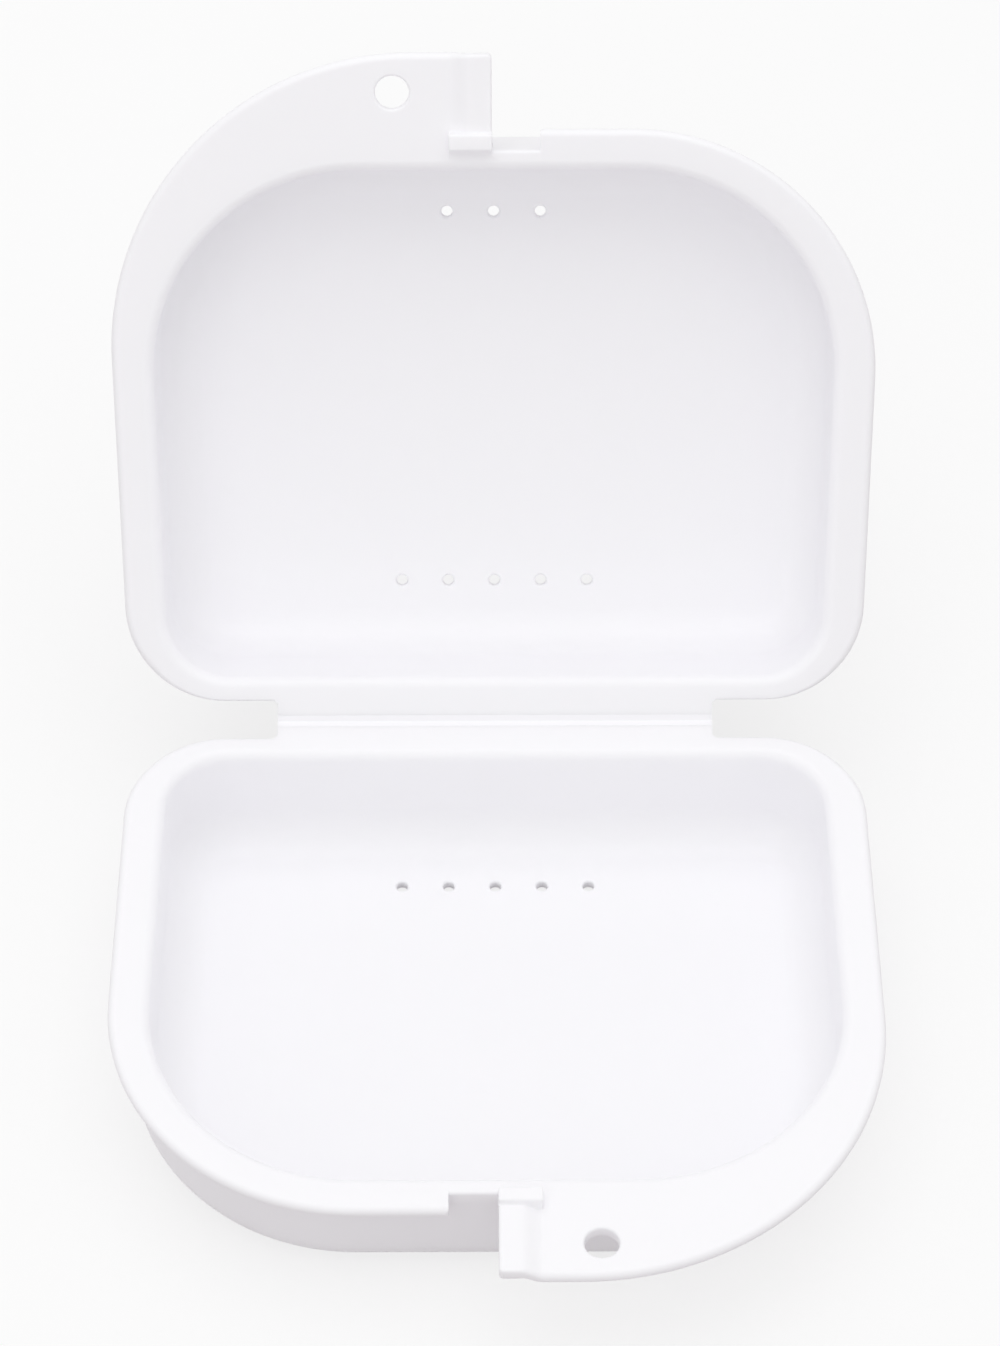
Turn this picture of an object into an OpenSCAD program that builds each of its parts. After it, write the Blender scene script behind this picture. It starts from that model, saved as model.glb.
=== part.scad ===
// Hinged two-part case for an orthodontic retainer, standing open.
// Both halves are the same moulding: the lid is the base turned half a turn about the
// vertical and folded up at the living hinge. Millimetres, +Z up, front towards -Y.
// A half is drawn in its own frame: X across, Y forward from the fold, Z up from the rim.

/* [Rim] */
// Widest width across the rim
rim_w = 81; // [76:0.5:90]
// Width across the rim at its back corners
rim_back_w = 79; // [75:0.5:80]
// Length of the rim from its back edge to its front edge
rim_l = 61.9; // [56:0.2:75]
// Radius of the rim's front corners
front_r = 26; // [22:0.5:30]
// Radius of the rim's back corners
back_r = 10.5; // [9:0.5:13]
// Thickness of the rim and of the finger tab
rim_t = 1.5; // [1.2:0.1:1.8]
// How far the rim stands out past the wall at the sides and front
overhang = 2.2; // [1.6:0.1:2.6]
// How far the rim stands out past the wall at the back
back_overhang = 0.3; // [0.2:0.05:0.6]

/* [Shell] */
// Height of one half, from its underside to its rim
half_h = 14; // [12:0.5:20]
// Thickness of the walls
wall = 2.2; // [1.9:0.1:2.4]
// Thickness of the floor
floor_t = 1.2; // [1:0.1:2]
// Draft angle of the walls
draft = 1.5; // [0.5:0.5:3]
// Radius between the outside of the wall and the underside
foot_r = 4.6; // [4:0.2:7]
// Radius between the inside of the wall and the floor
cove_r = 4.5; // [2:0.5:6]
// Radius of the back corners of the wall
shell_back_r = 9; // [8.5:0.5:12]
// Width of the bevel that eases the inner edge of the rim
mouth_bevel = 1.1; // [0.4:0.1:1.2]

/* [Finger tab] */
// How far the tab stands out past the front of the rim
tab_reach = 8.2; // [6:0.2:11]
// Radius of the tab's rounded corner
tab_r = 31.8; // [28:0.2:35]
// Gap between each tab's inner end and the middle of the case
tab_gap = 0.15; // [0.1:0.05:0.4]
// Width of the raised band at the tab's inner end
band_w = 2.3; // [1.5:0.1:4]
// How far the band is raised towards the other half
band_rise = 0.9; // [0.5:0.1:1.2]
// Width of the slope from the band down to the tab
band_slope = 2.3; // [1:0.1:3]
// Diameter of the lanyard hole
hole_d = 3.6; // [2.5:0.1:5]
// Distance of the lanyard hole from the middle of the case
hole_x = 10.7; // [8:0.1:16]
// Distance of the lanyard hole from the tab's front edge
hole_inset = 4.2; // [3.5:0.1:5.5]

/* [Catch] */
// Height of the catch lug above the rim
lug_h = 2.1; // [1.6:0.1:2.4]
// Depth of the catch lug from back to front
lug_depth = 3.2; // [2.6:0.1:3.6]
// How far the catch lug reaches back over the wall
lug_back = 0.8; // [0.2:0.1:0.9]
// Radius of the lug's top edges
lug_r = 1.2; // [0.6:0.1:1.3]
// Clearance between the lug and the other half's notch
lug_clear = 0.2; // [0.1:0.05:0.3]

/* [Vents] */
// Diameter of a vent hole
vent_d = 1.4; // [0.8:0.1:2]
// Spacing of the vent holes
vent_pitch = 5; // [4:0.5:6]
// Number of vents in the back row
back_vents = 5; // [3:2:7]
// Number of vents in the front row
front_vents = 3; // [1:2:5]
// Distance of the back row from the rim's back edge
back_vent_inset = 10.2; // [9:0.2:16]
// Distance of the front row from the rim's front edge
front_vent_inset = 11.1; // [10.2:0.2:18]

/* [Hinge] */
// Width of the hinge
hinge_w = 46.6; // [30:0.2:54]
// Distance from the fold to the rim's back edge
fold_gap = 2.2; // [1.6:0.1:3.5]
// Thickness of a hinge leaf
leaf_t = 1; // [0.8:0.1:1.4]
// Distance from the fold to the end of a leaf
leaf_end = 0.6; // [0.4:0.1:0.9]
// Thickness of the film that folds
film_t = 0.4; // [0.25:0.05:0.5]
// Gap left between the rims when the case is closed
closing_gap = 0.25; // [0.15:0.05:0.4]
// Angle that the lid stands open, counted from closed
lid_open = 127; // [90:1:180]

/* [Hidden] */
$fn = 96;
plastic = [0.95, 0.95, 0.97];
overlap = 1;
// Facets of the rounded shell: round its corners, its foot and cove, and the edge of its rim
corner_fn = 64;
cove_fn = 24;
edge_fn = 16;
lug_fn = 48;
// How far inside the tray the bevel of its mouth starts
mouth_lap = 0.1;
// How far the lug is sunk into the rim that carries it
lug_foot = 0.3;

rim_back = fold_gap;
rim_front = fold_gap + rim_l;
shell_back = rim_back + back_overhang;
shell_front = rim_front - overhang;
tab_front = rim_front + tab_reach;
cavity_h = half_h - floor_t;

// An outline is [back centre, back radius, front centre, front radius] of its right-hand corners
rim_front_c = [rim_w / 2 - front_r, rim_front - front_r];
rim_back_c = [rim_back_w / 2 - back_r, rim_back + back_r];
rim_outline = [rim_back_c, back_r, rim_front_c, front_r];
// Direction in which the straight side faces, in degrees from straight out
corner_step = rim_front_c - rim_back_c;
side_a = atan2(corner_step.y, corner_step.x) - acos((back_r - front_r) / norm(corner_step));
side_n = [cos(side_a), sin(side_a)];
side_reach = rim_front_c * side_n + front_r;

// Centre, at height y, of a round of radius r that touches the side line at a reach
function beside(reach, r, y) = [(reach - r - side_n.y * y) / side_n.x, y];

shell_back_c = beside(side_reach - overhang, shell_back_r, shell_back + shell_back_r);
shell_outline = [shell_back_c, shell_back_r, rim_front_c, front_r - overhang];
tab_c = beside(side_reach, tab_r, tab_front - tab_r);
// The tab's round starts well inside the rim, and its front runs straight past the raised band
tab_lap = 6;
tab_run = 10;
slope_x = tab_gap + band_w;
flat_x = slope_x + band_slope;
notch_w = flat_x + lug_clear;
root_y = shell_front + lug_clear;
lug_y = shell_front - lug_back;

axis_rise = closing_gap / 2;
film_r = axis_rise + film_t / 2;
hinge_y = (shell_back + shell_front) / 2;
// Flats that the film's bend is drawn with
bend_steps = 12;

module both_sides() {
    children();
    mirror([1, 0, 0]) children();
}

// The smooth body between the four corners of an outline; the child is drawn for radius $r
module rounded_body(o) {
    hull() both_sides() {
        translate(o[0]) corner(o[1]) children();
        translate(o[2]) corner(o[3]) children();
    }
}

// A half section turned about its corner's centre
module corner(r) {
    $r = r;
    rotate_extrude($fn = corner_fn) children();
}

// Half section of a dish for a corner of radius $r: a drafted side that rounds into a flat bottom
module dish_section(inset, depth, fillet, top) {
    side = $r - inset;
    lean = tan(draft);
    bottom_x = side - lean * depth;
    c = [bottom_x - fillet * (1 - sin(draft)) / cos(draft), fillet - depth];
    square_top = [[0, top], [side + lean * top, top], c + fillet * [cos(draft), -sin(draft)]];
    polygon(concat(square_top, [c, [c.x, -depth], [0, -depth]]));
    intersection() {
        translate(c) circle(fillet, $fn = cove_fn);
        translate(c - [0, fillet]) square([2 * fillet, fillet]);
    }
}

// Half section of the rim sheet for a radius $r, with a full-round edge
module sheet_section(fn) {
    translate([0, -rim_t]) square([$r - rim_t / 2, rim_t]);
    translate([$r - rim_t / 2, -rim_t / 2]) circle(d = rim_t, $fn = fn);
}

// The outside of the tray, the space inside it and the bevel round its mouth
module tray_outside() rounded_body(shell_outline) dish_section(0, half_h, foot_r, 0);
module tray_inside() rounded_body(shell_outline) dish_section(wall, cavity_h, cove_r, overlap);
module tray_mouth() {
    rounded_body(shell_outline)
        polygon([[0, -mouth_bevel], [$r - wall - mouth_lap, -mouth_bevel], [$r - wall + mouth_bevel, 0],
            [$r - wall + mouth_bevel, overlap], [0, overlap]]);
}

// The rim sheet, with the notch for the other half's lug cut out beside the tab
module rim() {
    difference() {
        rounded_body(rim_outline) sheet_section(edge_fn);
        translate([-notch_w, shell_front + lug_clear / 2, -rim_t - overlap])
            cube([notch_w + tab_gap, 2 * overhang, rim_t + 2 * overlap]);
    }
}

// The raised band at the tab's inner end, from x0 to x1, with its round edge at y1
module straight_sheet(x0, x1, y0, y1) {
    $r = y1 - y0;
    translate([x1, y0, 0]) rotate(90) translate([0, x1 - x0, 0]) rotate([90, 0, 0])
        linear_extrude(x1 - x0) sheet_section($fn);
}

// The flat of the finger tab: a wide round that runs straight towards the middle
module tab_plate() {
    intersection() {
        hull() for (shift = [0, tab_run])
            translate(tab_c - [shift, 0]) corner(tab_r) sheet_section(edge_fn);
        translate([flat_x, tab_c.y - tab_lap, -rim_t - overlap])
            cube([rim_w, tab_front, rim_t + 2 * overlap]);
    }
}

// The finger tab: the rim sheet drawn forward on the right, raised at its inner end
module tab() {
    tab_plate();
    translate([0, 0, band_rise]) straight_sheet(tab_gap, slope_x, root_y, tab_front);
    translate([0, tab_front - rim_t / 4, 0]) rotate([90, 0, 0])
        linear_extrude(tab_front - rim_t / 4 - root_y)
            polygon([[slope_x, band_rise], [flat_x, 0], [flat_x, -rim_t],
                [slope_x, band_rise - rim_t]]);
}

// Section of the catch lug, grown all round by a clearance
module lug_section(grow) {
    translate([lug_y - grow, -lug_foot])
        square([lug_depth + 2 * grow, lug_foot + lug_h - lug_r]);
    hull() for (y = [lug_y + lug_r, lug_y + lug_depth - lug_r])
        translate([y, lug_h - lug_r]) circle(lug_r + grow, $fn = lug_fn);
}

// The catch lug that stands on the wall and rim at the root of the raised band
module lug() {
    translate([tab_gap, 0, 0]) rotate([90, 0, 90])
        linear_extrude(flat_x - tab_gap) lug_section(0);
}

// The room that the other half's lug takes up in this half's notch and wall when the case is closed
module lug_room() {
    translate([-notch_w, 0, closing_gap]) mirror([0, 0, 1]) rotate([90, 0, 90])
        linear_extrude(notch_w + tab_gap) lug_section(lug_clear);
}

// The stiff leaf that carries the film at the back of the rim
module leaf() {
    translate([-hinge_w / 2, leaf_end, -leaf_t])
        cube([hinge_w, shell_back + wall / 2 - leaf_end, leaf_t]);
}

module vent_row(count, y) {
    for (i = [0:count - 1])
        translate([(i - (count - 1) / 2) * vent_pitch, y, -half_h - overlap])
            cylinder(d = vent_d, h = floor_t + 2 * overlap);
}

// The hollow tray with its rim, tab and hinge leaf
module open_tray() {
    difference() {
        union() {
            tray_outside();
            rim();
            tab();
            leaf();
        }
        tray_inside();
        tray_mouth();
    }
}

// One whole half of the case
module half() {
    difference() {
        union() {
            open_tray();
            lug();
        }
        lug_room();
        vent_row(back_vents, rim_back + back_vent_inset);
        vent_row(front_vents, rim_front - front_vent_inset);
        translate([hole_x, tab_front - hole_inset, -rim_t - overlap])
            cylinder(d = hole_d, h = rim_t + 2 * overlap);
    }
}

// Moves what is drawn about the fold, at the hinge axis, to its place
module at_hinge() translate([0, hinge_y, half_h + axis_rise]) children();

module base_shell() {
    color(plastic) at_hinge() translate([0, 0, -axis_rise]) mirror([0, 1, 0]) half();
}

module lid_shell() {
    color(plastic) at_hinge() rotate([180 - lid_open, 0, 0]) translate([0, 0, -axis_rise])
        mirror([1, 0, 0]) half();
}

// The thin film at the fold, bent about the hinge axis between the ends of the two leaves
module hinge_web() {
    color(plastic) at_hinge() translate([-hinge_w / 2, 0, 0]) rotate([90, 0, 90])
        linear_extrude(hinge_w) film_section();
}

// Section of the film across the fold, with the base to the left: a face on each side of the bend
module film_section() {
    bend = 180 - lid_open;
    turns = [for (i = [0:bend_steps]) bend * i / bend_steps];
    function at(turn, r, along) = [sin(turn), -cos(turn)] * r + [cos(turn), sin(turn)] * along;
    function face(r) = concat([at(0, r, -leaf_end)], [for (turn = turns) at(turn, r, 0)],
        [at(bend, r, leaf_end)]);
    inner = face(film_r - film_t / 2);
    polygon(concat(face(film_r + film_t / 2), [for (i = [len(inner) - 1:-1:0]) inner[i]]));
}

base_shell();
lid_shell();
hinge_web();
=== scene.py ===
"""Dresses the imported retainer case: two white moulded halves and the film that hinges them."""

from __future__ import annotations

import logging
import math
from dataclasses import dataclass
from enum import Enum
from typing import Any, Sequence

import bmesh
import bpy
from mathutils import Matrix, Vector

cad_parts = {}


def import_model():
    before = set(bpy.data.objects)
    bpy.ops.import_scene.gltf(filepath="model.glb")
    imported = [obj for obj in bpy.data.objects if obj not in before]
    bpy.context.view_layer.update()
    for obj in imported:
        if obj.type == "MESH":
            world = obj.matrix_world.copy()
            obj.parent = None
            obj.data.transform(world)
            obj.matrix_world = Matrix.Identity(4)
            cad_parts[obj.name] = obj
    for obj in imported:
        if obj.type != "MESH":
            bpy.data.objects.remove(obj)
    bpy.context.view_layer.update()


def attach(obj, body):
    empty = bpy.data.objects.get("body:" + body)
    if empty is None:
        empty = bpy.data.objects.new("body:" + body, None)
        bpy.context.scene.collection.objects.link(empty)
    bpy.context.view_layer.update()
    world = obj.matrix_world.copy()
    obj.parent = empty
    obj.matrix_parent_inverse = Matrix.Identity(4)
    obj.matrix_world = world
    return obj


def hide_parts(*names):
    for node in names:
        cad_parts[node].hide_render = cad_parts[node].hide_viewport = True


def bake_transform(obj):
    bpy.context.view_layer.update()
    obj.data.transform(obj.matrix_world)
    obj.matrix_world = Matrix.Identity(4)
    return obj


LOG = logging.getLogger("retainer_case")
MM = 0.001
PHOTO_WIDTH, PHOTO_HEIGHT = 1000, 1346
RIM_SOFTNESS = 0.75
Point = tuple[float, float, float]
Section = list[tuple[float, float]]


def deselect_all() -> None:
    """Leaves nothing selected, in object mode."""
    if bpy.context.mode != "OBJECT":
        bpy.ops.object.mode_set(mode="OBJECT")
    bpy.ops.object.select_all(action="DESELECT")


def make_active(obj: bpy.types.Object) -> None:
    """Selects one object alone and makes it the active one.

    Args:
        obj: The object that the next operators act on.
    """
    deselect_all()
    obj.select_set(True)
    bpy.context.view_layer.objects.active = obj


def polar(degrees: float) -> Vector:
    """The unit direction at an angle from the case's right-hand side, in plan."""
    return Vector((math.cos(math.radians(degrees)), math.sin(math.radians(degrees))))


def spread(start: float, end: float, steps: int) -> list[float]:
    """Evenly spaced values from start to end, both included."""
    return [start + (end - start) * i / steps for i in range(steps + 1)]


@dataclass(frozen=True)
class CaseSizes:
    """The case's sizes in millimetres, in one half's own plan.

    Across is from the middle to the right, forward is from the fold, and up is from the rim.
    """

    rim_width: float = 81.0
    rim_back_width: float = 79.0
    rim_length: float = 61.9
    front_radius: float = 26.0
    back_radius: float = 10.5
    rim_thickness: float = 1.5
    overhang: float = 2.2
    back_overhang: float = 0.3
    height: float = 14.0
    wall: float = 2.2
    floor: float = 1.2
    draft: float = 1.5
    foot_radius: float = 4.6
    cove_radius: float = 4.5
    shell_back_radius: float = 9.0
    mouth_radius: float = 1.15
    tab_reach: float = 8.2
    tab_radius: float = 31.8
    tab_gap: float = 0.15
    band_width: float = 2.3
    band_rise: float = 0.9
    band_slope: float = 2.3
    hole_width: float = 3.6
    hole_across: float = 10.7
    hole_inset: float = 4.2
    hole_ease: float = 0.28
    lug_height: float = 1.55
    lug_depth: float = 1.8
    lug_radius: float = 0.3
    lug_front_fillet: float = 0.28
    lug_back_fillet: float = 0.95
    lug_clearance: float = 0.2
    lug_sink: float = 0.02
    vent_width: float = 1.2
    vent_ease: float = 0.28
    vent_pitch: float = 5.0
    back_vents: int = 5
    front_vents: int = 3
    back_vent_inset: float = 10.2
    front_vent_inset: float = 11.1
    hinge_width: float = 46.6
    fold_gap: float = 2.2
    leaf_thickness: float = 1.0
    leaf_end: float = 0.6
    film_thickness: float = 0.4
    closing_gap: float = 0.25
    lid_open: float = 127.0

    @property
    def rim_front(self) -> float:
        """Where the rim's straight front lies."""
        return self.fold_gap + self.rim_length

    @property
    def shell_back(self) -> float:
        """Where the tray's outer wall lies at the back."""
        return self.fold_gap + self.back_overhang

    @property
    def shell_front(self) -> float:
        """Where the tray's outer wall lies at the front."""
        return self.rim_front - self.overhang

    @property
    def tab_front(self) -> float:
        """Where the finger tab ends."""
        return self.rim_front + self.tab_reach

    @property
    def band_end(self) -> float:
        """How far across the raised band and its slope reach."""
        return self.tab_gap + self.band_width + self.band_slope

    @property
    def notch_end(self) -> float:
        """How far the notch reaches to the left of the middle."""
        return self.band_end + self.lug_clearance

    @property
    def lean(self) -> float:
        """How far a wall leans in for each millimetre down."""
        return math.tan(math.radians(self.draft))

    @property
    def rim_front_centre(self) -> Vector:
        """Centre of the rim's front right corner."""
        return Vector((self.rim_width / 2 - self.front_radius, self.rim_front - self.front_radius))

    @property
    def rim_back_centre(self) -> Vector:
        """Centre of the rim's back right corner."""
        return Vector((self.rim_back_width / 2 - self.back_radius, self.fold_gap + self.back_radius))

    @property
    def side_angle(self) -> float:
        """Direction in which the straight right side faces.

        Returns:
            Degrees from straight to the right.
        """
        step = self.rim_front_centre - self.rim_back_centre
        turn = math.acos((self.back_radius - self.front_radius) / step.length)
        return math.degrees(math.atan2(step.y, step.x) - turn)

    def beside(self, inset: float, radius: float, forward: float) -> Vector:
        """Centre of a round that touches the right side's line.

        Args:
            inset: How far inside the rim's side line the touched line lies.
            radius: The round's radius.
            forward: How far forward its centre lies.

        Returns:
            The centre in plan.
        """
        out = polar(self.side_angle)
        reach = self.rim_front_centre.dot(out) + self.front_radius - inset
        return Vector(((reach - radius - out.y * forward) / out.x, forward))

    @property
    def fold_forward(self) -> float:
        """How far the fold lies behind the middle of the base's tray."""
        return (self.shell_back + self.shell_front) / 2

    @property
    def hinge_axis(self) -> Vector:
        """A point of the hinge axis in the row frame, in metres."""
        return Vector((0, self.fold_forward, self.height + self.closing_gap / 2)) * MM

    @property
    def bend(self) -> float:
        """How far the lid is folded up from lying flat, in radians."""
        return math.radians(180 - self.lid_open)

    def place(self, across: float, forward: float, up: float) -> Point:
        """A point of the base in the row frame, in metres.

        Args:
            across: Millimetres to the right of the middle.
            forward: Millimetres from the fold.
            up: Millimetres above the rim.

        Returns:
            The point's coordinates.
        """
        return (across * MM, (self.fold_forward - forward) * MM, (self.height + up) * MM)


class EdgeForm(Enum):
    """How the edge of the rim sheet is finished at a place."""

    RIM = "rounded rim"
    LEAF = "hinge leaf"


@dataclass(frozen=True)
class Station:
    """One place on the way round a half: a point of the wall and the rim's point beside it."""

    wall: Vector
    wall_out: Vector
    rim: Vector
    rim_out: Vector
    form: EdgeForm = EdgeForm.RIM
    lift: float = 0.0
    softness: float = RIM_SOFTNESS
    leaf_edge: float = 0.12
    leaf_crease: float = 0.03
    least_edge: float = 0.2
    edge_share: float = 0.6

    @property
    def overhang(self) -> float:
        """How far the rim stands out past the wall here."""
        return (self.rim - self.wall).dot(self.wall_out)

    @property
    def edge_radius(self) -> float:
        """Radius of the sheet's edge here, less where the rim hardly stands out.

        Returns:
            The radius in millimetres.
        """
        if self.form is EdgeForm.LEAF:
            return self.leaf_edge
        return min(self.softness, max(self.least_edge, self.overhang * self.edge_share))

    @property
    def top_radius(self) -> float:
        """Radius of the sheet's upper edge here, crisp where the hinge film joins the leaf."""
        return self.leaf_crease if self.form is EdgeForm.LEAF else self.edge_radius


@dataclass
class RimPath:
    """The way round a half, from the middle of the fold and on along the right-hand side.

    Behind a corner of the rim the wall's places lie close together, between the two insets of a pinch.
    """

    sizes: CaseSizes
    corner_steps: int = 20
    front_steps: int = 44
    side_steps: int = 8
    leaf_steps: int = 8
    leaf_corner: float = 0.2
    leaf_flat: float = 1.0
    leaf_pinch: tuple[float, float] = (0.19, 0.15)
    leaf_root: float = 0.3
    rim_margin: float = 0.4
    corner_break: float = 0.5
    corner_margin: float = 0.1
    end_softness: float = 0.3
    end_margin: float = 0.03
    end_run: tuple[float, float] = (2.0, 0.6)
    left_start: float = -0.6

    def stations(self) -> list[Station]:
        """All places in order, once round.

        Returns:
            The places, from the middle of the fold.
        """
        leaf, corner, side = self._leaf(), self._back_corner(), self._side()
        right = [*leaf, *corner, *side, *self._tab_round()]
        front = [*self._tab_front(), *self._tab_end(), *self._front_left()]
        left = [self._mirrored(s) for s in reversed([*leaf[1:], *corner, *side])]
        return [*right, *front, *left]

    @staticmethod
    def _mirrored(s: Station) -> Station:
        """The place opposite a station, on the left."""
        flip = [Vector((-p.x, p.y)) for p in (s.wall, s.wall_out, s.rim, s.rim_out)]
        return Station(*flip, s.form, s.lift, s.softness)

    def _leaf(self) -> list[Station]:
        """The right half of the hinge leaf and the rim behind it.

        Returns:
            Its places, from the middle to the back corner.
        """
        z, back, right = self.sizes, Vector((0, -1)), Vector((1, 0))
        half, corner = z.hinge_width / 2, self.leaf_corner
        start = z.leaf_end + corner
        middle = Vector((half - corner, start))
        flat = [*spread(0, half - self.leaf_flat, self.leaf_steps), half - corner]
        places = [(x, Vector((x, z.leaf_end)), back) for x in flat]
        ends = [(middle + polar(turn) * corner, polar(turn)) for turn in (-60.0, -30.0)]
        ends += [(Vector((half, y)), right) for y in spread(start, z.fold_gap - self.leaf_root, 2)]
        walls = spread(half - self.leaf_pinch[0], half - self.leaf_pinch[1], len(ends) - 1)
        places += [(x, rim, out) for x, (rim, out) in zip(walls, ends)]
        way = [Station(Vector((x, z.shell_back)), back, rim, out, EdgeForm.LEAF) for x, rim, out in places]
        rims = spread(half + self.rim_margin, z.rim_back_centre.x - self.rim_margin, 4)
        walls = spread(half + self.rim_margin, self._back_centre().x - self.rim_margin, 4)
        return way + [Station(Vector((w, z.shell_back)), back, Vector((x, z.fold_gap)), back)
                      for x, w in zip(rims, walls)]

    def _back_centre(self) -> Vector:
        """Centre of the wall's back right corner."""
        z = self.sizes
        return z.beside(z.overhang, z.shell_back_radius, z.shell_back + z.shell_back_radius)

    def _back_corner(self) -> list[Station]:
        """The back right corner.

        Returns:
            Its places, from the back to the side.
        """
        z, middle = self.sizes, self._back_centre()
        return [Station(middle + polar(a) * z.shell_back_radius, polar(a),
                        z.rim_back_centre + polar(a) * z.back_radius, polar(a))
                for a in spread(-90, z.side_angle, self.corner_steps)]

    def _side(self) -> list[Station]:
        """The straight right side, without its ends.

        Returns:
            Its places, from back to front.
        """
        z, out = self.sizes, polar(self.sizes.side_angle)
        first, last = self._back_corner()[-1], self._tab_round()[0]
        front = z.rim_front_centre + out * (z.front_radius - z.overhang)
        return [Station(first.wall.lerp(front, t), out, first.rim.lerp(last.rim, t), out)
                for t in spread(0, 1, self.side_steps)[1:-1]]

    def _tab_round(self) -> list[Station]:
        """The front right corner, where the rim widens into the tab's round.

        Returns:
            Its places, from the side to the front.
        """
        z = self.sizes
        middle = z.beside(0, z.tab_radius, z.tab_front - z.tab_radius)
        radius = z.front_radius - z.overhang
        return [Station(z.rim_front_centre + polar(a) * radius, polar(a),
                        middle + polar(a) * z.tab_radius, polar(a))
                for a in spread(z.side_angle, 90, self.front_steps)]

    def lift(self, across: float) -> float:
        """How far the tab's raised band stands above the rim.

        Args:
            across: The place across, in millimetres.

        Returns:
            The rise in millimetres.
        """
        z = self.sizes
        share = min(1.0, max(0.0, (z.band_end - across) / z.band_slope))
        return z.band_rise * share * share * (3 - 2 * share)

    def _tab_front(self) -> list[Station]:
        """The tab's straight front, from the end of its round to its inner corner.

        Returns:
            Its places, from right to left.
        """
        z, out, way = self.sizes, Vector((0, 1)), []
        start, flat, top = self._tab_round()[-1], z.band_end, z.band_end - z.band_slope
        stretch = (start.wall.x - flat) / (start.rim.x - flat)
        places = [*spread(start.rim.x, flat, 5)[1:], *spread(flat, top, 12)[1:]]
        places += spread(top, z.tab_gap + self.corner_break + self.corner_margin, 5)[1:]
        for x in places:
            wall = flat + (x - flat) * stretch if x > flat else x
            soft = self.end_softness + (RIM_SOFTNESS - self.end_softness) * min(1.0, x / flat) ** 2
            way.append(Station(Vector((wall, z.shell_front)), out, Vector((x, z.tab_front)), out,
                               EdgeForm.RIM, self.lift(x), soft))
        return way

    def _tab_end(self) -> list[Station]:
        """The tab's inner corner and the edge that runs back from it to the rim.

        Returns:
            Its places, from the front backwards.
        """
        z, left = self.sizes, Vector((-1, 0))
        edge = z.tab_gap + self.end_margin
        middle = Vector((edge + self.corner_break, z.tab_front - self.corner_break))
        rims = [(middle + polar(turn) * self.corner_break, polar(turn)) for turn in spread(90, 180, 6)]
        run = spread(z.tab_front - self.end_run[0], z.shell_front + self.end_run[1], 6)
        rims += [(Vector((edge, forward)), left) for forward in run]
        walls = spread(edge + self.corner_break, edge + self.end_softness, len(rims))
        return [Station(Vector((x, z.shell_front)), Vector((0, 1)), rim, out,
                        EdgeForm.RIM, z.band_rise, self.end_softness)
                for x, (rim, out) in zip(walls, rims)]

    def _front_left(self) -> list[Station]:
        """The rim's straight front on the left and the round of its left corner.

        Returns:
            Its places, from the tab to the left side.
        """
        z, out = self.sizes, Vector((0, 1))
        way = [Station(Vector((x, z.shell_front)), out, Vector((x, z.rim_front)), out)
               for x in spread(self.left_start, -z.rim_front_centre.x, 12)[:-1]]
        radius = z.front_radius - z.overhang
        for a in spread(90, z.side_angle, self.front_steps):
            here = Station(z.rim_front_centre + polar(a) * radius, polar(a),
                           z.rim_front_centre + polar(a) * z.front_radius, polar(a))
            way.append(self._mirrored(here))
        return way


class RingSweep:
    """Grows a skin ring by ring: each ring is extruded from the last one and then set in place."""

    MERGE = 0.0005 * MM

    def __init__(self, name: str, ring: Sequence[Point]) -> None:
        """Adds a circle with one vertex for each point and puts them in place.

        Args:
            name: The new object's name.
            ring: The first ring's points, in the row frame.
        """
        deselect_all()
        bpy.ops.mesh.primitive_circle_add(vertices=len(ring), radius=MM)
        self.obj = bpy.context.object
        self.obj.name = self.obj.data.name = name
        bpy.ops.object.mode_set(mode="EDIT")
        bpy.ops.mesh.select_mode(type="VERT")
        bpy.ops.mesh.select_all(action="SELECT")
        grid = bmesh.from_edit_mesh(self.obj.data)
        grid.verts.ensure_lookup_table()
        marks = [grid.verts.layers.int.new(mark) for mark in ("station", "first_ring")]
        for i, vert in enumerate(grid.verts):
            vert[marks[0]], vert[marks[1]] = i, 1
        self._set(ring)

    def _set(self, ring: Sequence[Point]) -> None:
        """Moves the selected ring's vertices to their points.

        Args:
            ring: The points, in the first ring's order.
        """
        grid = bmesh.from_edit_mesh(self.obj.data)
        mark = grid.verts.layers.int["station"]
        for vert in grid.verts:
            if vert.select:
                vert.co = ring[vert[mark]]
        bmesh.update_edit_mesh(self.obj.data)

    def extend(self, ring: Sequence[Point]) -> None:
        """Extrudes the last ring and moves the new one to its points.

        Args:
            ring: The new ring's points, in the first ring's order.
        """
        bpy.ops.mesh.extrude_region_move()
        grid = bmesh.from_edit_mesh(self.obj.data)
        mark = grid.verts.layers.int["first_ring"]
        for vert in grid.verts:
            if vert.select:
                vert[mark] = 0
        self._set(ring)

    def close(self) -> bpy.types.Object:
        """Fills both end rings and turns the faces outwards.

        Returns:
            The finished object, in object mode.
        """
        bpy.ops.mesh.edge_face_add()
        bpy.ops.mesh.select_all(action="DESELECT")
        grid = bmesh.from_edit_mesh(self.obj.data)
        mark = grid.verts.layers.int["first_ring"]
        for vert in grid.verts:
            vert.select = vert[mark] == 1
        grid.select_flush_mode()
        bmesh.update_edit_mesh(self.obj.data)
        bpy.ops.mesh.edge_face_add()
        bpy.ops.mesh.select_all(action="SELECT")
        bpy.ops.mesh.remove_doubles(threshold=self.MERGE)
        bpy.ops.mesh.normals_make_consistent(inside=False)
        bpy.ops.object.mode_set(mode="OBJECT")
        for mark in ("station", "first_ring"):
            self.obj.data.attributes.remove(self.obj.data.attributes[mark])
        return self.obj


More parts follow.
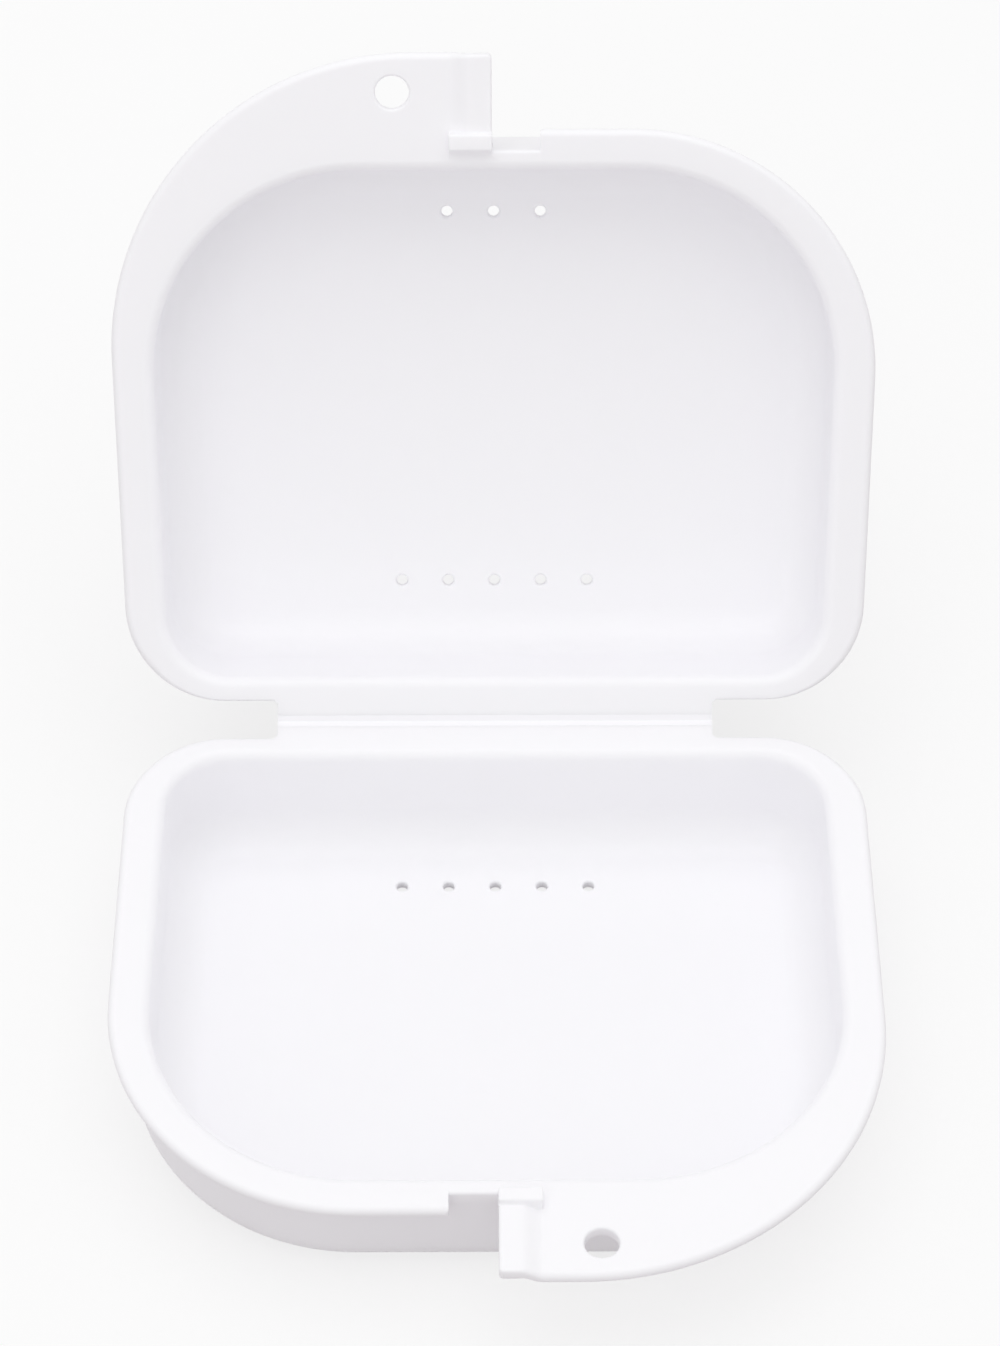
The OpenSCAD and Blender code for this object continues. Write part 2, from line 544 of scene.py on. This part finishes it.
def sweep_rings(name: str, rings: Sequence[Sequence[Point]]) -> bpy.types.Object:
    """Models a closed skin through rings of the same number of points.

    Args:
        name: The new object's name.
        rings: The rings, from one end to the other, in the row frame.

    Returns:
        The finished object.
    """
    sweep = RingSweep(name, rings[0])
    for ring in rings[1:]:
        sweep.extend(ring)
    return sweep.close()


def apply_boolean(target: bpy.types.Object, tool: bpy.types.Object, operation: str) -> None:
    """Joins a tool to an object or cuts it away, and deletes the tool.

    Args:
        target: The object that is changed.
        tool: The closed mesh that is joined or cut.
        operation: UNION or DIFFERENCE.
    """
    make_active(target)
    bpy.ops.object.modifier_add(type="BOOLEAN")
    step = target.modifiers[-1]
    step.operation, step.solver, step.object = operation, "MANIFOLD", tool
    bpy.ops.object.modifier_apply(modifier=step.name)
    make_active(tool)
    bpy.ops.object.delete()


def smooth(obj: bpy.types.Object, degrees: float) -> None:
    """Shades an object smooth up to an angle, with large flat faces kept flat.

    Args:
        obj: The object to shade.
        degrees: Edges sharper than this stay crisp.
    """
    make_active(obj)
    bpy.ops.object.shade_smooth_by_angle(angle=math.radians(degrees))
    bpy.ops.object.modifier_add(type="WEIGHTED_NORMAL")
    step = obj.modifiers[-1]
    step.mode, step.weight, step.keep_sharp = "FACE_AREA", 50, True
    bpy.ops.object.modifier_apply(modifier=step.name)


@dataclass(frozen=True)
class RoundHole:
    """A round hole with eased edges, between two heights above the rim, in millimetres."""

    name: str
    radius: float
    top: float
    low: float
    ease: float
    sides: int
    ease_end: float = 75.0
    ease_steps: int = 5
    lips: tuple[tuple[float, float], ...] = ((1.3, 0.5), (1.02, 0.01))

    def cutter(self, sizes: CaseSizes, across: float, forward: float) -> bpy.types.Object:
        """Models the solid that cuts the hole, flared where it leaves each face.

        Args:
            sizes: The case's sizes.
            across: Its place across the half.
            forward: Its place forward of the fold.

        Returns:
            The cutter.
        """
        ease, turns = self.ease, spread(self.ease_end, 0, self.ease_steps)
        wide = self.radius + ease
        steps = [(self.radius + ease * share, self.top + spare) for share, spare in self.lips]
        steps += [(wide - ease * polar(t).x, self.top - ease + ease * polar(t).y) for t in turns]
        steps += [(wide - ease * polar(t).x, self.low + ease - ease * polar(t).y) for t in reversed(turns)]
        steps += [(self.radius + ease * share, self.low - spare) for share, spare in reversed(self.lips)]
        rings = []
        for reach, up in steps:
            plan = [polar(360 * i / self.sides) * reach for i in range(self.sides)]
            rings.append([sizes.place(across + p.x, forward + p.y, up) for p in plan])
        return sweep_rings(self.name, rings)


@dataclass
class CaseHalf:
    """One half of the case: tray, rim, finger tab, lug, hinge leaf, vents and lanyard hole."""

    sizes: CaseSizes
    round_steps: int = 12
    edge_steps: int = 6
    hole_sides: int = 64
    vent_sides: int = 32
    crease: float = 32.0
    inside_ups: tuple[float, ...] = (-5.5, -2.5)
    outside_ups: tuple[float, ...] = (-4.0, -6.2)
    under_rim: tuple[float, float] = (-1.68, -1.9)
    under_reach: float = 0.28
    under_share: float = 0.4
    top_roots: tuple[tuple[float, float], ...] = ((0.22, 0.32), (0.3, 0.22))

    def build(self, name: str) -> bpy.types.Object:
        """Models the half as the base, in the row frame.

        Args:
            name: The object's name.

        Returns:
            The finished object.
        """
        half = self._skin(name)
        apply_boolean(half, self._lug(), "UNION")
        for cutter in [self._notch(), *self._cutters()]:
            apply_boolean(half, cutter, "DIFFERENCE")
        smooth(half, self.crease)
        return half

    def _skin(self, name: str) -> bpy.types.Object:
        """The tray and rim as one closed skin, from the floor inside to the floor outside."""
        way = RimPath(self.sizes).stations()
        return sweep_rings(name, [*self._inside(way), *self._sheet(way), *self._outside(way)])

    def _wall_ring(self, way: Sequence[Station], inset: float, up: float) -> list[Point]:
        """A ring at one height, an inset inside the tray's outer wall."""
        return [self.sizes.place(*(s.wall - s.wall_out * inset), up) for s in way]

    def _inside(self, way: Sequence[Station]) -> list[list[Point]]:
        """The tray's inside: cove, drafted wall and rounded mouth.

        Args:
            way: The places round the half.

        Returns:
            Its rings, from the floor to the rim.
        """
        z, rings = self.sizes, []
        depth, draft = z.height - z.floor, math.radians(z.draft)
        inset = z.wall + z.lean * depth + z.cove_radius * (1 - math.sin(draft)) / math.cos(draft)
        for turn in spread(-90, -z.draft, self.round_steps):
            step = polar(turn) * z.cove_radius
            rings.append(self._wall_ring(way, inset - step.x, z.cove_radius - depth + step.y))
        for up in self.inside_ups:
            rings.append(self._wall_ring(way, z.wall - z.lean * up, up))
        for turn in spread(0, 90, self.edge_steps):
            step = polar(turn) * z.mouth_radius
            rings.append(self._wall_ring(way, z.wall - z.mouth_radius + step.x, step.y - z.mouth_radius))
        return rings

    def _sheet(self, way: Sequence[Station]) -> list[list[Point]]:
        """The rim sheet and its tab: top, rounded edge and underside.

        Args:
            way: The places round the half.

        Returns:
            Its rings, from the mouth over the edge to the outer wall.
        """
        near, far = self.top_roots
        rings = [[self._root(s, *near, 0.0) for s in way], [self._root(s, *far, s.lift) for s in way]]
        for turn in [*spread(90, 0, self.edge_steps), *spread(0, -90, self.edge_steps)]:
            rings.append([self._edge(s, turn) for s in way])
        rings.append([self._under(s) for s in way])
        return rings

    def _root(self, s: Station, reach: float, margin: float, up: float) -> Point:
        """A point on top of the rim beside the wall, inside the place where the edge's round starts."""
        reach = min(reach, s.overhang - s.edge_radius - margin)
        return self.sizes.place(*(s.wall + s.wall_out * reach), up)

    def _thickness(self, s: Station) -> float:
        """The sheet's thickness at a place."""
        return self.sizes.leaf_thickness if s.form is EdgeForm.LEAF else self.sizes.rim_thickness

    def _edge(self, s: Station, turn: float) -> Point:
        """A point of the rim's rounded edge.

        Args:
            s: The place on the way round.
            turn: Degrees, from 90 at the top to -90 at the underside.

        Returns:
            The point in the row frame.
        """
        radius, thick = s.top_radius if turn > 0 else s.edge_radius, self._thickness(s)
        step = polar(turn) * radius
        up = s.lift - radius + step.y if turn > 0 else s.lift - thick + radius + step.y
        if turn == 0:
            up = s.lift - thick / 2
        return self.sizes.place(*(s.rim - s.rim_out * (radius - step.x)), up)

    def _under(self, s: Station) -> Point:
        """A point on the underside of the rim, just outside the wall."""
        reach = min(self.under_reach, (s.overhang - s.edge_radius) * self.under_share)
        return self.sizes.place(*(s.wall + s.wall_out * reach), s.lift - self._thickness(s))

    def _outside(self, way: Sequence[Station]) -> list[list[Point]]:
        """The tray's outside: drafted wall and rounded foot.

        Args:
            way: The places round the half.

        Returns:
            Its rings, from the rim to the floor.
        """
        z = self.sizes
        root, low = self.under_rim
        rings = [self._wall_ring(way, 0.0, root)]
        rings += [self._wall_ring(way, -z.lean * up, up) for up in (low, *self.outside_ups)]
        draft = math.radians(z.draft)
        inset = z.lean * z.height + z.foot_radius * (1 - math.sin(draft)) / math.cos(draft)
        for turn in spread(-z.draft, -90, self.round_steps):
            step = polar(turn) * z.foot_radius
            rings.append(self._wall_ring(way, inset - step.x, z.foot_radius - z.height + step.y))
        return rings

    def _lug_section(self, grow: float, foot: float, low: float) -> Section:
        """The catch lug's section, as forward and up, with fillets at its foot.

        Args:
            grow: How much larger it is drawn all round.
            foot: Height of the band in front of it.
            low: Height of its lower edge.

        Returns:
            Its outline, from its lower back corner over the top to its lower front corner.
        """
        z = self.sizes
        radius, up = z.lug_radius + grow, z.lug_height - z.lug_radius
        back = z.shell_front + z.lug_clearance
        front = back + z.lug_depth
        rear, fore = z.lug_back_fillet, z.lug_front_fillet
        arcs = [(back - grow - rear, rear - z.lug_sink, rear, spread(-90, 0, 8)),
                (back + z.lug_radius, up, radius, spread(180, 90, 8)),
                (front - z.lug_radius, up, radius, spread(90, 0, 8)),
                (front + grow + fore, foot + fore - z.lug_sink, fore, spread(180, 270, 8))]
        outline = [(forward + polar(turn).x * size, height + polar(turn).y * size)
                   for forward, height, size, turns in arcs for turn in turns]
        return [(outline[0][0], low), *outline, (outline[-1][0], low)]

    def _lug(self, ease: float = 0.2, low: float = -0.3) -> bpy.types.Object:
        """The catch lug at the root of the raised band, with eased ends and a foot that follows the band.

        Args:
            ease: Radius of its ends' edges.
            low: Height of its lower edge.

        Returns:
            The lug.
        """
        z = self.sizes
        ends = [(ease * (1 - polar(turn).y), ease * (polar(turn).x - 1)) for turn in spread(90, 0, 5)]
        ways = [(z.tab_gap + inset, grow) for inset, grow in ends]
        ways += [(across, 0.0) for across in spread(z.tab_gap + ease, z.band_end - ease, 14)[1:-1]]
        ways += [(z.band_end - inset, grow) for inset, grow in reversed(ends)]
        rise, rings = RimPath(z).lift, []
        for across, grow in ways:
            section = self._lug_section(grow, rise(across), low)
            rings.append([z.place(across, *point) for point in section])
        return sweep_rings("catch_lug", rings)

    def _notch(self, ease: float = 0.35, depth: float = 0.25, skin: float = 0.03,
               spare: float = 0.6) -> bpy.types.Object:
        """The gap in the rim beside the tab, with eased edges, for the other half's lug.

        Args:
            ease: Radius of its outer corner and of the wall's edge.
            depth: How far it reaches below the rim.
            skin: What it leaves of the rim on the wall.
            spare: How far the cutter stands up out of the rim.

        Returns:
            The cutter.
        """
        z = self.sizes
        right, left, front = z.tab_gap, -z.notch_end, z.rim_front + 1
        corner = Vector((left - ease, z.rim_front - ease))
        steps = [(0.0, -z.rim_thickness - depth)]
        steps += [(ease * (1 - polar(turn).x), ease * (polar(turn).y - 1)) for turn in spread(0, 90, 6)]
        rings = []
        for inset, up in [*steps, (ease, spare)]:
            back = z.shell_front + skin - inset
            plan = [Vector((right, front)), Vector((right, back)), Vector((left, back))]
            plan += [corner + polar(turn) * ease for turn in spread(0, 90, 6)]
            plan.append(Vector((left - ease, front)))
            rings.append([z.place(*p, up) for p in plan])
        return sweep_rings("rim_notch", rings)

    def _cutters(self) -> list[bpy.types.Object]:
        """The solids that are cut away: the lanyard hole and the two rows of vents.

        Returns:
            The cutters.
        """
        z = self.sizes
        hole = RoundHole("lanyard_hole", z.hole_width / 2, 0.0, -z.rim_thickness,
                         z.hole_ease, self.hole_sides)
        vent = RoundHole("vent", z.vent_width / 2, z.floor - z.height, -z.height,
                         z.vent_ease, self.vent_sides)
        cutters = [hole.cutter(z, z.hole_across, z.tab_front - z.hole_inset)]
        rows = [(z.back_vents, z.fold_gap + z.back_vent_inset),
                (z.front_vents, z.rim_front - z.front_vent_inset)]
        for count, forward in rows:
            for i in range(count):
                cutters.append(vent.cutter(z, (i - (count - 1) / 2) * z.vent_pitch, forward))
        return cutters

    def lid_from(self, base: bpy.types.Object, name: str) -> bpy.types.Object:
        """Copies the base, turns it half round and folds it up about the hinge.

        Args:
            base: The finished base.
            name: The lid's name.

        Returns:
            The lid, with a mesh of its own.
        """
        make_active(base)
        bpy.ops.object.duplicate(linked=False)
        lid = bpy.context.object
        lid.name = lid.data.name = name
        axis = self.sizes.hinge_axis
        fold = Matrix.Rotation(self.sizes.bend, 4, "X") @ Matrix.Rotation(math.pi, 4, "Z")
        lid.matrix_world = Matrix.Translation(axis) @ fold @ Matrix.Translation(-axis)
        make_active(lid)
        bpy.ops.object.transform_apply(location=True, rotation=True, scale=True)
        return lid


@dataclass
class HingeFilm:
    """The thin film between the two hinge leaves, bent about the hinge axis."""

    sizes: CaseSizes
    bend_steps: int = 24
    run_steps: int = 16
    side_gap: float = 0.02
    lap: float = 0.15
    dip: float = 0.02
    crease: float = 40.0

    @property
    def radius(self) -> float:
        """Radius of the bend, at the middle of the film, whose inner face is flush with the leaves."""
        return self.sizes.closing_gap / 2 + self.sizes.film_thickness / 2 + self.dip

    def _at(self, turn: float, radius: float, along: float) -> tuple[float, float]:
        """A point of the film's section, as forward and up from the hinge axis."""
        sine, cosine = math.sin(turn), math.cos(turn)
        return (sine * radius + cosine * along, -cosine * radius + sine * along)

    def build(self, name: str) -> bpy.types.Object:
        """Draws the section across the fold and runs it along the hinge.

        Args:
            name: The object's name.

        Returns:
            The finished film.
        """
        z = self.sizes
        middle, half = self.radius, z.film_thickness / 2
        ends = z.leaf_end + self.lap
        section: Section = []
        for radius, turns in ((middle + half, spread(0, z.bend, self.bend_steps)),
                              (middle - half, spread(z.bend, 0, self.bend_steps))):
            first, last = (-ends, ends) if turns[0] == 0 else (ends, -ends)
            section.append(self._at(turns[0], radius, first))
            section += [self._at(turn, radius, 0) for turn in turns]
            section.append(self._at(turns[-1], radius, last))
        axis = z.hinge_axis
        reach = z.hinge_width / 2 - self.side_gap
        across = spread(-reach, reach, self.run_steps)
        rings = [[(x * MM, axis.y + y * MM, axis.z + up * MM) for y, up in section] for x in across]
        film = sweep_rings(name, rings)
        smooth(film, self.crease)
        return film

    def ends(self) -> tuple[Vector, Vector]:
        """Where the film's bend starts and ends.

        Returns:
            The two points in the row frame, in metres.
        """
        z = self.sizes
        points = [self._at(turn, self.radius, 0) for turn in (0.0, z.bend)]
        start, end = [z.hinge_axis + Vector((0, y, up)) * MM for y, up in points]
        return start, end


class Wire:
    """A shader socket that can be used in Python sums."""

    def __init__(self, board: Board, socket: bpy.types.NodeSocket) -> None:
        """Wraps a socket of a board."""
        self.board, self.socket = board, socket

    def _sum(self, operation: str, a: Any, b: Any) -> Wire:
        """Adds a Math node for two values."""
        return self.board.node("ShaderNodeMath", {"operation": operation}, {0: a, 1: b})

    def __add__(self, other: Any) -> Wire:
        """This plus another."""
        return self._sum("ADD", self, other)

    def __radd__(self, other: Any) -> Wire:
        """Another plus this."""
        return self._sum("ADD", other, self)

    def __sub__(self, other: Any) -> Wire:
        """This less another."""
        return self._sum("SUBTRACT", self, other)

    def __rsub__(self, other: Any) -> Wire:
        """Another less this."""
        return self._sum("SUBTRACT", other, self)

    def __mul__(self, other: Any) -> Wire:
        """This times another."""
        return self._sum("MULTIPLY", self, other)

    def __rmul__(self, other: Any) -> Wire:
        """Another times this."""
        return self._sum("MULTIPLY", other, self)


class Board:
    """A node tree that is filled from Python."""

    def __init__(self, tree: bpy.types.NodeTree) -> None:
        """Starts from an empty tree."""
        self.tree = tree
        tree.nodes.clear()

    def node(self, kind: str, settings: dict[str, Any], values: dict[Any, Any], out: Any = 0) -> Wire:
        """Adds a node.

        Args:
            kind: The node's type.
            settings: Properties that are set first; a ramp's stops are its position and value pairs.
            values: Numbers, colours or wires for its input sockets.
            out: The output socket that is returned.

        Returns:
            The output as a wire.
        """
        made = self.tree.nodes.new(kind)
        for key, value in settings.items():
            if key == "stops":
                self._stops(made.color_ramp, value)
            else:
                setattr(made, key, value)
        for key, value in values.items():
            if isinstance(value, Wire):
                self.tree.links.new(value.socket, made.inputs[key])
            else:
                made.inputs[key].default_value = value
        return Wire(self, made.outputs[out]) if len(made.outputs) else Wire(self, made.inputs[0])

    @staticmethod
    def _stops(ramp: bpy.types.ColorRamp, stops: Sequence[tuple[float, float]]) -> None:
        """Sets a grey ramp's stops.

        Args:
            ramp: The ramp.
            stops: Each stop's position and grey.
        """
        while len(ramp.elements) < len(stops):
            ramp.elements.new(0.5)
        for element, (place, grey) in zip(ramp.elements, stops):
            element.position = place
            element.color = (grey, grey, grey, 1)

    def noise(self, scale: float, detail: float, stretch: Point = (1, 1, 1)) -> Wire:
        """Noise over the object's own coordinates.

        Args:
            scale: Noise cells for each metre.
            detail: Octaves.
            stretch: Scale along each axis.

        Returns:
            The noise's value.
        """
        where = self.node("ShaderNodeTexCoord", {}, {}, "Object")
        turned = self.node("ShaderNodeMapping", {}, {"Vector": where, "Scale": stretch})
        return self.node("ShaderNodeTexNoise", {}, {"Vector": turned, "Scale": scale, "Detail": detail})

    def seen_by_eye(self) -> Wire:
        """A mask of the rays that show a surface to the camera, also in gloss and through glass.

        Returns:
            1 for those rays and 0 for those that only carry light.
        """
        path = self.node("ShaderNodeLightPath", {}, {}, "Is Camera Ray")
        outputs = path.socket.node.outputs
        gloss, glass = [Wire(self, outputs[name]) for name in ("Is Glossy Ray", "Is Transmission Ray")]
        either = self.node("ShaderNodeMath", {"operation": "MAXIMUM"}, {0: gloss, 1: glass})
        return self.node("ShaderNodeMath", {"operation": "MAXIMUM"}, {0: path, 1: either})


@dataclass(frozen=True)
class MouldedWhite:
    """Cool white polypropylene with a satin moulded skin."""

    name: str = "moulded_white"
    colour: Point = (0.963, 0.956, 0.984)
    mottle: float = 0.008
    roughness: float = 0.42
    glow: float = 0.2
    glow_depth: float = 0.0012
    glow_tint: Point = (1.0, 0.97, 1.0)
    refraction: float = 1.49
    cloud_scale: float = 45.0
    cloud_rough: float = 0.10
    grain_scale: float = 5200.0
    grain_rough: float = 0.06
    grain_depth: float = 0.012
    flow_scale: float = 120.0
    flow_depth: float = 0.05
    rub_scale: float = 260.0
    rub_polish: float = 0.05
    bump_strength: float = 0.35
    bump_height: float = 0.0004

    def make(self) -> bpy.types.Material:
        """Builds the material.

        Returns:
            The finished material.
        """
        material = bpy.data.materials.new(self.name)
        material.use_nodes = True
        board = Board(material.node_tree)
        cloud = board.noise(self.cloud_scale, 3.0)
        grain = board.noise(self.grain_scale, 2.0)
        flow = board.noise(self.flow_scale, 2.0, (1.0, 0.35, 1.0))
        pale = [c * (1 + self.mottle) for c in self.colour]
        dull = [c * (1 - self.mottle) for c in self.colour]
        tint = board.node("ShaderNodeMix", {"data_type": "RGBA"},
                          {"Factor": cloud, 6: (*dull, 1), 7: (*pale, 1)}, 2)
        rub = board.node("ShaderNodeValToRGB", {"stops": [(0.55, 0.0), (0.75, 1.0)]},
                         {"Fac": board.noise(self.rub_scale, 4.0, (1.0, 0.18, 0.6))})
        rough = self.roughness + (cloud - 0.5) * self.cloud_rough + (grain - 0.5) * self.grain_rough
        rough = rough - rub * self.rub_polish
        height = grain * self.grain_depth + flow * self.flow_depth
        bump = board.node("ShaderNodeBump", {}, {
            "Strength": self.bump_strength, "Distance": self.bump_height, "Height": height})
        skin = board.node("ShaderNodeBsdfPrincipled", {}, {
            "Base Color": tint, "Roughness": rough, "Normal": bump, "IOR": self.refraction,
            "Subsurface Weight": self.glow, "Subsurface Radius": self.glow_tint,
            "Subsurface Scale": self.glow_depth})
        board.node("ShaderNodeOutputMaterial", {}, {"Surface": skin})
        return material


@dataclass(frozen=True)
class PaleFloor:
    """A white floor that keeps a soft trace of the shadow and throws a duller light back at the case."""

    name: str = "pale_floor"
    dull: Point = (0.60, 0.56, 0.575)
    pale: float = 0.95
    shown: float = 0.985
    share: float = 0.72

    def make(self) -> bpy.types.Material:
        """Builds the material.

        Returns:
            The finished material.
        """
        material = bpy.data.materials.new(self.name)
        material.use_nodes = True
        board = Board(material.node_tree)
        pale, shown = (*[self.pale] * 3, 1), (*[self.shown] * 3, 1)
        shade = board.node("ShaderNodeBsdfDiffuse", {}, {"Color": (*self.dull, 1)})
        matt = board.node("ShaderNodeBsdfDiffuse", {}, {"Color": pale})
        light = board.node("ShaderNodeEmission", {}, {"Color": shown})
        lit = board.node("ShaderNodeMixShader", {}, {0: self.share, 1: matt, 2: light})
        mixed = board.node("ShaderNodeMixShader", {}, {0: board.seen_by_eye(), 1: shade, 2: lit})
        board.node("ShaderNodeOutputMaterial", {}, {"Surface": mixed})
        return material


@dataclass(frozen=True)
class SoftLamp:
    """A square soft lamp, with its place, aim and side in metres and its power in watts."""

    name: str
    place: Point
    aim: Point
    side: float
    power: float

    def hang(self) -> None:
        """Adds the lamp to the scene."""
        data = bpy.data.lights.new(self.name, "AREA")
        data.shape, data.size, data.energy = "SQUARE", self.side, self.power
        lamp = bpy.data.objects.new(self.name, data)
        bpy.context.scene.collection.objects.link(lamp)
        lamp.location = self.place
        lamp.rotation_euler = (Vector(self.aim) - Vector(self.place)).to_track_quat("-Z", "Y").to_euler()


@dataclass
class Studio:
    """Floor, lamps, world and the camera at the photograph's angle.

    The camera's distance and target are in millimetres, the target from the fold's place in the base.
    """

    sizes: CaseSizes
    elevation: float = 50.9
    azimuth: float = -0.2
    distance: float = 862.0
    focal_pixels: float = 8000.0
    target: Point = (0.567, 6.672, 14.0)
    sensor: float = 36.0
    clip: tuple[float, float] = (0.05, 20.0)
    floor_side: float = 6.0
    world_strength: float = 0.785
    backdrop: float = 0.982
    lamps: tuple[SoftLamp, ...] = (
        SoftLamp("overhead", (0.0, 0.10, 0.80), (0.0, 0.03, 0.0), 0.75, 1.45),
        SoftLamp("front_fill", (-0.35, -0.70, 0.60), (0.0, 0.03, 0.03), 0.6, 0.50))

    def build(self) -> None:
        """Sets up everything around the object."""
        self._floor()
        self._world()
        for lamp in self.lamps:
            lamp.hang()
        self._camera()
        bpy.context.scene.view_settings.view_transform = "Standard"

    def _floor(self) -> None:
        """A large plane that the base stands on."""
        deselect_all()
        bpy.ops.mesh.primitive_plane_add(size=self.floor_side, location=(0, 0, 0))
        floor = bpy.context.object
        floor.name = "floor"
        floor.data.materials.append(PaleFloor().make())

    def _world(self) -> None:
        """Soft light from all round, with a white backdrop."""
        world = bpy.data.worlds.new("studio")
        bpy.context.scene.world = world
        world.use_nodes = True
        board = Board(world.node_tree)
        seen = board.seen_by_eye()
        strength = self.world_strength + seen * (self.backdrop - self.world_strength)
        light = board.node("ShaderNodeBackground", {}, {"Color": (1, 1, 1, 1), "Strength": strength})
        board.node("ShaderNodeOutputWorld", {}, {"Surface": light})

    def _camera(self) -> None:
        """The camera, with the photograph's angle, distance and framing."""
        data = bpy.data.cameras.new("camera")
        camera = bpy.data.objects.new("camera", data)
        bpy.context.scene.collection.objects.link(camera)
        rise, turn = math.radians(self.elevation), math.radians(self.azimuth)
        back = Vector((math.sin(turn) * math.cos(rise), -math.cos(turn) * math.cos(rise), math.sin(rise)))
        fold = Vector((0, self.sizes.fold_forward, 0))
        camera.location = (Vector(self.target) + fold + back * self.distance) * MM
        camera.rotation_euler = (-back).to_track_quat("-Z", "Y").to_euler()
        data.sensor_width = self.sensor
        data.lens = self.focal_pixels * data.sensor_width / max(PHOTO_WIDTH, PHOTO_HEIGHT)
        data.clip_start, data.clip_end = self.clip
        bpy.context.scene.camera = camera


def dress(piece: bpy.types.Object, material: bpy.types.Material, node: str) -> None:
    """Gives a piece its material and lets it stand for a CAD node.

    Args:
        piece: The finished piece.
        material: Its finish.
        node: The CAD node that it replaces.
    """
    piece.data.materials.clear()
    piece.data.materials.append(material)
    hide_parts(node)
    LOG.info("%s: %d faces", piece.name, len(piece.data.polygons))


def main() -> None:
    """Builds the case's pieces in order, then the studio, and logs each piece's face count."""
    logging.basicConfig(level=logging.INFO, format="%(name)s: %(message)s")
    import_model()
    sizes = CaseSizes()
    white = MouldedWhite().make()
    film_white = MouldedWhite(name="hinge_white", glow=0.0).make()
    half = CaseHalf(sizes)
    base = half.build("case_base")
    lid = half.lid_from(base, "case_lid")
    dress(base, white, "base_shell")
    dress(lid, white, "lid_shell")
    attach(base, "base")
    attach(lid, "lid")
    film = HingeFilm(sizes)
    web = film.build("hinge_film")
    dress(web, film_white, "hinge_web")
    film.ends()
    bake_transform(web)
    Studio(sizes).build()


if __name__ == "__main__":
    main()
